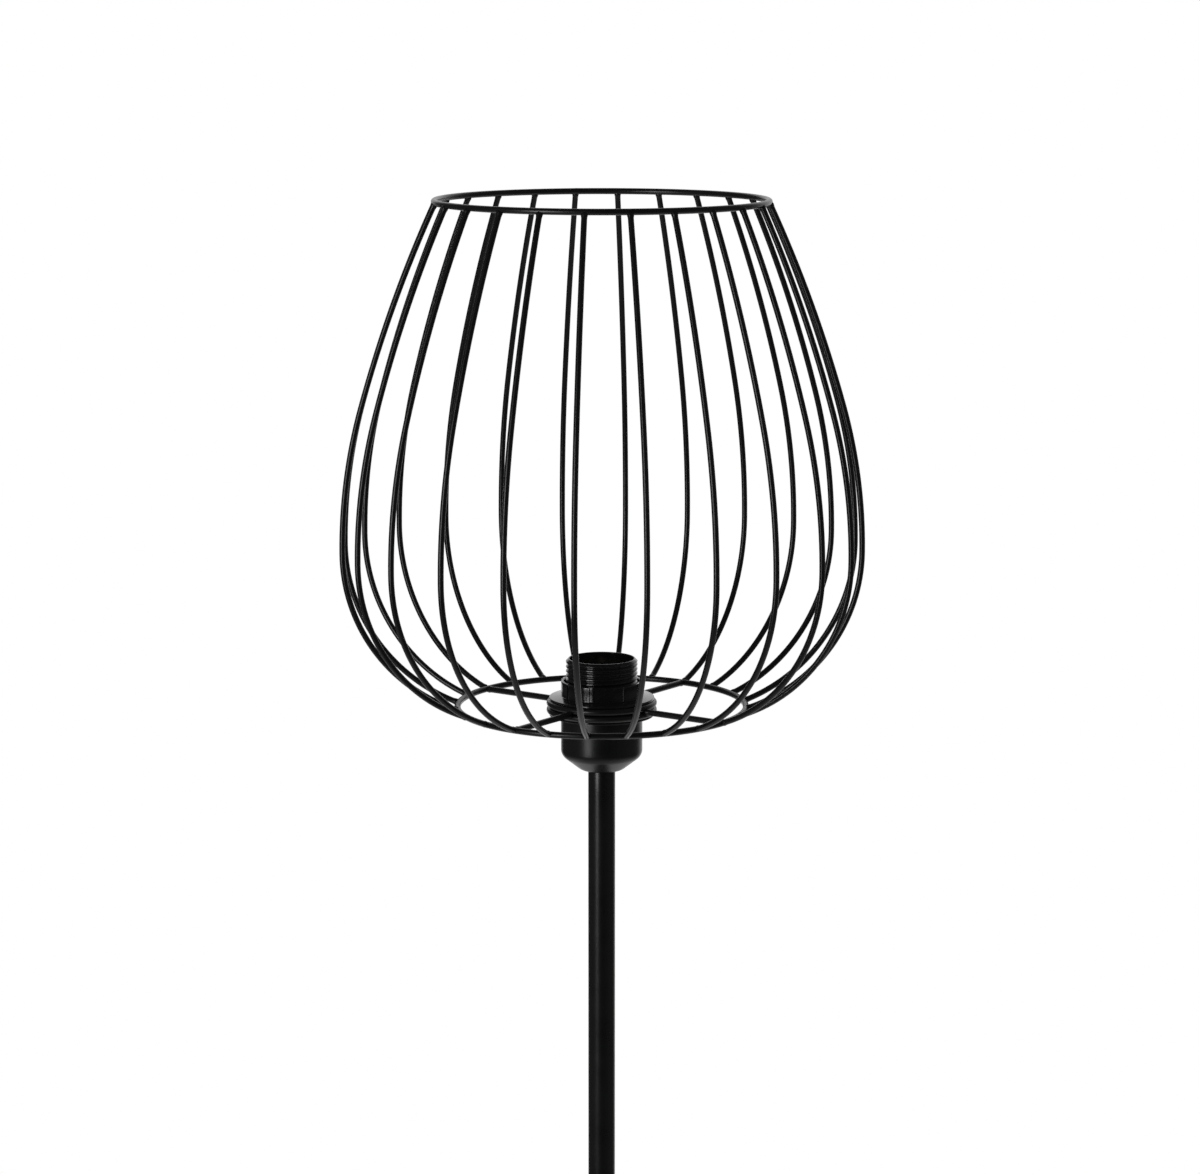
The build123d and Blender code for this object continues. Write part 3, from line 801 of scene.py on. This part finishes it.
class LAMP_OT_holder_skirt(bpy.types.Operator):
    """Make the lampholder's skirt: threaded outside, flanged and open at the top"""

    bl_idname = "lamp.holder_skirt"
    bl_label = "Holder Skirt"

    def execute(self, context):
        sizes = context.scene.lamp_holder
        foot, mouth = node_span("holder_skirt")
        flange = node_reach("holder_skirt")
        bore = node_bore("holder_skirt")
        crest = bore + sizes.skirt_wall
        body, neck = crest + sizes.skirt_body, crest - sizes.skirt_neck
        flange_under = foot + sizes.skirt_drop
        flange_top = flange_under + sizes.flange_thick
        ledge = flange_under - sizes.skirt_ledge
        chamfer, soft = sizes.skirt_chamfer, sizes.moulded_edge
        corners = [
            (bore, mouth), (crest - chamfer, mouth), (crest, mouth - chamfer),
            (crest, flange_top), (flange, flange_top), (flange, flange_under),
            (body, flange_under), (body, foot), (neck, foot), (neck, ledge), (bore, ledge),
        ]
        outline = dense(rounded(corners, soft), step=0.8 * MM, fine=0.125 * MM,
                        low=crest - CLOSE, high=crest + CLOSE)
        radius, height = outline[:, :1], outline[:, 1:]
        turn = full_turn(160)[None, :]
        wave = helix_wave(turn, height, sizes.thread_pitch)
        on_thread = (np.abs(radius - crest) < CLOSE) & (height > flange_top + soft)
        fade = sizes.thread_pitch
        runout = plateau(height, flange_top + soft, flange_top + fade,
                         mouth - chamfer - fade / 4, mouth - chamfer)
        depth = sizes.thread_depth * on_thread * runout * (1 - thread_form(wave))
        shell = grid_shell(around(turn, radius - depth, height), wrap_rows=True)
        put_piece("holder_skirt_moulding", [shell], finish("plastic"), "root",
                  "holder_skirt")
        return {"FINISHED"}


class LAMP_OT_screw_shell(bpy.types.Operator):
    """Make the rolled screw shell that takes the lamp's cap"""

    bl_idname = "lamp.screw_shell"
    bl_label = "Screw Shell"

    def execute(self, context):
        sizes = context.scene.lamp_holder
        foot, top = node_span("screw_shell")
        outer = node_reach("screw_shell")
        wall, fade = sizes.shell_wall, 0.6 * sizes.lamp_pitch
        rows = np.linspace(foot, top, num=110)[:, None]
        turn = full_turn(96)[None, :]
        ease = plateau(rows, foot + fade / 2, foot + 1.5 * fade, top - 1.2 * fade, top - fade / 4)
        wave = helix_wave(turn, rows, sizes.lamp_pitch)
        inward = sizes.lamp_depth * ease * (0.5 - 0.5 * np.cos(2 * math.pi * wave))
        outside = around(turn, outer - inward, rows)
        inside = around(turn, outer - wall - inward, rows)
        shell = grid_shell(np.concatenate([outside, inside[::-1]]), wrap_rows=True)
        put_piece("screw_shell_rolled", [shell], finish("nickel"), "root", "screw_shell")
        return {"FINISHED"}


class LAMP_OT_holder_inside(bpy.types.Operator):
    """Finish the insert, contacts, terminals and cap, whose CAD shapes stay"""

    bl_idname = "lamp.holder_inside"
    bl_label = "Holder Inside"

    def execute(self, context):
        finishes = {
            "holder_insert": "plastic", "holder_cap": "plastic", "centre_contact": "bronze",
            "contact_foot": "bronze", "contact_rivet": "brass", "terminal_blocks": "brass",
            "terminal_screws": "zinc", "cap_lock_screw": "zinc",
        }
        for node, short in finishes.items():
            finish_node(node, finish(short))
        return {"FINISHED"}


class LAMP_OT_holder_cup(bpy.types.Operator):
    """Make the cup, drawn from sheet steel, with its sloping bottom"""

    bl_idname = "lamp.holder_cup"
    bl_label = "Holder Cup"

    def execute(self, context):
        sizes = context.scene.lamp_stand
        foot, top = node_span("holder_cup")
        side, hole = node_reach("holder_cup"), node_bore("holder_cup")
        wall, bend = sizes.cup_wall, sizes.cup_bend
        slope = math.atan2(top - sizes.cup_straight - foot, side - sizes.cup_bottom)
        inset = wall * math.tan((math.pi / 2 - slope) / 2)
        corners = [
            (side, top), (side, top - sizes.cup_straight), (sizes.cup_bottom, foot),
            (hole, foot), (hole, foot + wall),
            (sizes.cup_bottom - wall * math.tan(slope / 2), foot + wall),
            (side - wall, top - sizes.cup_straight + inset), (side - wall, top),
        ]
        edge = sizes.cut_edge
        radii = [edge, bend, bend, edge, edge, bend - wall, bend - wall, edge]
        outline = dense(rounded(corners, radii, steps=11), step=2.5 * MM)
        put_piece("holder_cup_drawn", [lathe(outline, columns=128)], finish("coat"), "root",
                  "holder_cup")
        return {"FINISHED"}


# ---- pole and base


class LAMP_OT_pole(bpy.types.Operator):
    """Make the pole's three tubes, with their edges rounded by the coat"""

    bl_idname = "lamp.pole"
    bl_label = "Pole"

    def execute(self, context):
        sizes = context.scene.lamp_stand
        for node in ("pole_upper", "pole_middle", "pole_lower"):
            foot, top = node_span(node)
            outer = node_reach(node)
            inner = outer - sizes.tube_wall
            corners = [(inner, foot), (outer, foot), (outer, top), (inner, top)]
            edge, burr = sizes.tube_break, sizes.tube_burr
            outline = dense(rounded(corners, [burr, edge, edge, burr]), step=12 * MM)
            put_piece(f"{node}_tube", [lathe(outline, columns=72)], finish("coat"), "root", node)
        return {"FINISHED"}


class LAMP_OT_base_cover(bpy.types.Operator):
    """Make the base's spun steel cover"""

    bl_idname = "lamp.base_cover"
    bl_label = "Base Cover"

    def execute(self, context):
        sizes = context.scene.lamp_stand
        foot, top = node_span("base_cover")
        rim = node_reach("base_cover")
        hole = node_bore("base_cover")
        wall, bend = sizes.cover_wall, sizes.rim_bend
        corners = [
            (rim, foot), (rim, sizes.rim_height), (sizes.flat_radius, top), (hole, top),
            (hole, top - wall), (sizes.flat_radius, top - wall),
            (rim - wall, sizes.rim_height - wall), (rim - wall, foot),
        ]
        edge, sweep = sizes.cut_edge, sizes.cover_sweep
        radii = [edge, bend, sweep, edge, edge, sweep, bend - wall, edge]
        outline = dense(rounded(corners, radii, steps=9), step=8 * MM)
        put_piece("base_cover_spun", [lathe(outline, columns=192)], finish("coat"), "root",
                  "base_cover")
        return {"FINISHED"}


class LAMP_OT_base_inside(bpy.types.Operator):
    """Finish the weight, nuts, nipples, plugs and washers, whose CAD shapes stay"""

    bl_idname = "lamp.base_inside"
    bl_label = "Weight and Fasteners"

    def execute(self, context):
        finish_node("base_weight", finish("iron"))
        for node in ("base_nipple", "base_washer", "base_nut", "pole_plugs", "pole_studs",
                     "top_nipple", "cup_tooth_washer", "cup_lock_nut"):
            finish_node(node, finish("zinc"))
        return {"FINISHED"}


class LAMP_OT_base_feet(bpy.types.Operator):
    """Make the foam pads that the base stands on"""

    bl_idname = "lamp.base_feet"
    bl_label = "Base Feet"

    def execute(self, context):
        sizes = context.scene.lamp_stand
        foot, top = node_span("base_feet")
        radius, steps = sizes.foot_radius, 5
        circle = -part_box("base_feet")[0].y - radius
        soft = sizes.cut_edge
        corners = [(soft, foot), (radius, foot), (radius, top), (soft, top)]
        outline = rounded(corners, [soft / 4, soft, soft, soft / 4], steps)[steps - 1:1 - steps]
        turn = full_turn(48)[None, :]
        shells = []
        for azimuth in full_turn(sizes.foot_count):
            centre = around(azimuth, circle, 0.0)
            pad = around(turn, outline[:, :1], outline[:, 1:]) + centre
            shells.append(grid_shell(pad))
        put_piece("base_foam_pads", shells, finish("foam"), "root", "base_feet")
        return {"FINISHED"}


class LAMP_OT_cord_bushing(bpy.types.Operator):
    """Finish the cord's inlet at the back of the base"""

    bl_idname = "lamp.cord_bushing"
    bl_label = "Cord Bushing"

    def execute(self, context):
        finish_node("cord_bushing", finish("plastic"))
        return {"FINISHED"}


# ---- studio
# How bright the studio's parts look to a glossy surface, where white is 1.
ROOM_GLOSS = 0.01           # the dim room in front
WALL_GLOSS = 0.08           # what its side walls add
FLOOR_GLOSS = 0.5           # the pale floor straight below
FLOOR_GAIN = 0.35           # what the floor gains towards the back
# Along each axis of a unit direction, where those parts begin and where they are full.
BEHIND = (0.45, 1.0)
RIGHT_OF = (-0.55, -0.30)
BELOW = (-0.35, -0.8)
AMBIENT = 0.7               # the even light on matt surfaces
FLOOR_FADE = (0.35, 0.95)   # shares of its radius between which the floor turns white
FLOOR_RINGS = (0.02, 0.5, 1.0)      # shares of its radius at which its mesh is divided
CLIP = (0.05, 50)           # what the camera sees, from and to, in metres

# Each soft box's place, the point that it faces, its width and height, its power in
# watts, and whether gloss mirrors it or it lights matt surfaces alone.
SOFT_BOXES = {
    "key_softbox": ((-1.46, -1.78, 1.42), (0.0, 0.0, 1.25), (0.72, 1.42), 18, True),
    "overhead": ((0.0, 0.3, 3.2), (0.0, 0.0, 0.0), (2.2, 2.2), 26, False),
}


def soft_box(name, place, target, size, power, mirrored):
    """A rectangle of light at a place, turned to face its target."""
    data = bpy.data.lights.new(name, "AREA")
    data.shape = "RECTANGLE"
    data.size, data.size_y = size
    data.energy = power
    light = in_scene(name, data)
    light.location = place
    towards = np.subtract(target, place)
    level = math.hypot(towards[0], towards[1])
    light.rotation_euler = (
        math.pi / 2 + math.atan2(towards[2], level), 0, math.atan2(-towards[0], towards[1]),
    )
    light.visible_camera = False
    light.visible_glossy = mirrored


def studio_world():
    """The white background, and for gloss a lit white sweep behind the lamp in a dim room.

    The camera sees plain white. Gloss sees the sweep: white behind the lamp,
    falling off to its sides and stopping sooner on the left, the pale floor
    below, and elsewhere the room's walls. Matt surfaces get an even light from
    all round.
    """
    world = bpy.data.worlds.new("studio")
    bpy.context.scene.world = world
    world.use_nodes = True
    tree = world.node_tree
    tree.nodes.clear()
    towards = add_node(tree, "ShaderNodeTexCoord").outputs["Generated"]
    axes = add_node(tree, "ShaderNodeSeparateXYZ", {"Vector": towards}).outputs
    behind, right_of, below = (
        add_node(tree, "ShaderNodeMapRange", {
            "Value": axes[axis], "From Min": begins, "From Max": full,
        }, interpolation_type="SMOOTHSTEP")
        for axis, (begins, full) in {"Y": BEHIND, "X": RIGHT_OF, "Z": BELOW}.items()
    )
    sweep = add_node(tree, "ShaderNodeMath", {0: behind, 1: right_of}, operation="MULTIPLY")
    gain = add_node(tree, "ShaderNodeMath", {
        0: axes["Y"], 1: FLOOR_GAIN, 2: FLOOR_GLOSS,
    }, operation="MULTIPLY_ADD")
    ground = add_node(tree, "ShaderNodeMath", {0: below, 1: gain}, operation="MULTIPLY")
    aside = add_node(tree, "ShaderNodeMath", {0: axes["X"], 1: axes["X"]}, operation="MULTIPLY")
    walls = add_node(tree, "ShaderNodeMath", {
        0: aside, 1: WALL_GLOSS, 2: ROOM_GLOSS,
    }, operation="MULTIPLY_ADD")
    seen = add_node(tree, "ShaderNodeMath", {0: sweep, 1: walls}, operation="MAXIMUM")
    seen = add_node(tree, "ShaderNodeMath", {0: seen, 1: ground}, operation="MAXIMUM")
    path = add_node(tree, "ShaderNodeLightPath").outputs
    shiny = add_node(tree, "ShaderNodeMath", {
        0: path["Is Glossy Ray"], 1: path["Is Transmission Ray"],
    }, operation="MAXIMUM")
    light = add_node(tree, "ShaderNodeMix", {0: shiny, 2: AMBIENT, 3: seen}, data_type="FLOAT")
    strength = add_node(tree, "ShaderNodeMath", {
        0: light, 1: path["Is Camera Ray"],
    }, operation="MAXIMUM")
    back = add_node(tree, "ShaderNodeBackground", {"Color": (1, 1, 1, 1), "Strength": strength})
    add_node(tree, "ShaderNodeOutputWorld", {"Surface": back})


def floor_material(radius):
    """A matt pale floor with 3 mm specks, which fades into the white towards its edge."""
    material, tree, place = new_material("pale_studio_floor")
    away = add_node(tree, "ShaderNodeVectorMath", {0: place}, operation="LENGTH")
    fade = add_node(tree, "ShaderNodeMapRange", {
        "Value": away.outputs["Value"],
        "From Min": FLOOR_FADE[0] * radius, "From Max": FLOOR_FADE[1] * radius,
    })
    seen = add_node(tree, "ShaderNodeLightPath").outputs["Is Camera Ray"]
    share = add_node(tree, "ShaderNodeMath", {0: fade, 1: seen}, operation="MULTIPLY")
    speck = add_node(tree, "ShaderNodeTexNoise", {"Vector": place, "Scale": 1 / (3 * MM)})
    tint = add_node(tree, "ShaderNodeMix", {
        0: speck, 6: (*linear("#dcdcdb"), 1), 7: (*linear("#e2e2e1"), 1),
    }, data_type="RGBA")
    matt = add_node(tree, "ShaderNodeBsdfPrincipled", {
        "Base Color": tint.outputs[2], "Roughness": 0.8,
    })
    white = add_node(tree, "ShaderNodeEmission", {"Color": (1, 1, 1, 1), "Strength": 1.0})
    mixed = add_node(tree, "ShaderNodeMixShader", {0: share, 1: matt, 2: white})
    add_node(tree, "ShaderNodeOutputMaterial", {"Surface": mixed})
    return material


class LAMP_OT_studio(bpy.types.Operator):
    """Set up the pale floor, the soft light, the white background and the camera"""

    bl_idname = "lamp.studio"
    bl_label = "Studio"

    def execute(self, context):
        studio = context.scene.lamp_studio
        self.put_floor(studio.floor_radius)
        studio_world()
        for name, box in SOFT_BOXES.items():
            soft_box(name, *box)
        self.put_camera(studio)
        context.scene.view_settings.view_transform = "Standard"
        return {"FINISHED"}

    @staticmethod
    def put_floor(radius):
        """A flat disc under the lamp."""
        rings = np.array(FLOOR_RINGS)[:, None] * radius
        vertices, quads, fans = grid_shell(around(full_turn(96)[None, :], rings, 0.0 * rings))
        keep = fans[fans[:, 0] == len(vertices) - 2]
        mesh = bpy.data.meshes.new("studio_floor")
        mesh.from_pydata(vertices[:-1].tolist(), [], quads.tolist() + keep.tolist())
        mesh.materials.append(floor_material(radius))
        floor = in_scene("studio_floor", mesh)
        floor.visible_glossy = False

    @staticmethod
    def put_camera(studio):
        """The camera at the photograph's viewing angle."""
        data = bpy.data.cameras.new("camera")
        data.lens = studio.lens
        data.clip_start, data.clip_end = CLIP
        camera = in_scene("camera", data)
        camera.location = (studio.aside, -studio.distance, studio.height)
        camera.rotation_euler = (math.pi / 2 - studio.pitch, 0, 0)
        bpy.context.scene.camera = camera


# ---- panel and main


class LAMP_PT_builder(bpy.types.Panel):
    """The lamp's pieces and sizes in the 3D view's sidebar"""

    bl_label = "Wire Cage Floor Lamp"
    bl_idname = "LAMP_PT_builder"
    bl_space_type = "VIEW_3D"
    bl_region_type = "UI"
    bl_category = "Floor Lamp"

    def draw(self, context):
        column = self.layout.column(align=True)
        for operator in OPERATORS:
            column.operator(operator.bl_idname)
        for name, group in GROUPS.items():
            box = self.layout.box()
            box.label(text=group.__doc__.strip())
            for field in group.__annotations__:
                box.prop(getattr(context.scene, name), field)


GROUPS = {
    "lamp_cage": LampCageSizes,
    "lamp_holder": LampHolderSizes,
    "lamp_stand": LampStandSizes,
    "lamp_colours": LampColours,
    "lamp_studio": LampStudio,
}
OPERATORS = (
    LAMP_OT_cage_rings,
    LAMP_OT_cage_ribs,
    LAMP_OT_cage_spokes,
    LAMP_OT_shade_ring,
    LAMP_OT_holder_skirt,
    LAMP_OT_screw_shell,
    LAMP_OT_holder_inside,
    LAMP_OT_holder_cup,
    LAMP_OT_pole,
    LAMP_OT_base_cover,
    LAMP_OT_base_inside,
    LAMP_OT_base_feet,
    LAMP_OT_cord_bushing,
    LAMP_OT_studio,
)


def register():
    """Registers the groups, operators and panel, and hangs the groups on the scene."""
    for item in (*GROUPS.values(), *OPERATORS, LAMP_PT_builder):
        bpy.utils.register_class(item)
    for name, group in GROUPS.items():
        setattr(bpy.types.Scene, name, bpy.props.PointerProperty(type=group))


def unregister():
    """Takes everything back that register added."""
    for name in GROUPS:
        delattr(bpy.types.Scene, name)
    for item in (LAMP_PT_builder, *reversed(OPERATORS), *reversed(GROUPS.values())):
        bpy.utils.unregister_class(item)


def main():
    """Builds the whole lamp and its studio."""
    register()
    for operator in OPERATORS:
        group, name = operator.bl_idname.split(".")
        getattr(getattr(bpy.ops, group), name)()


if __name__ == "__main__":
    main()
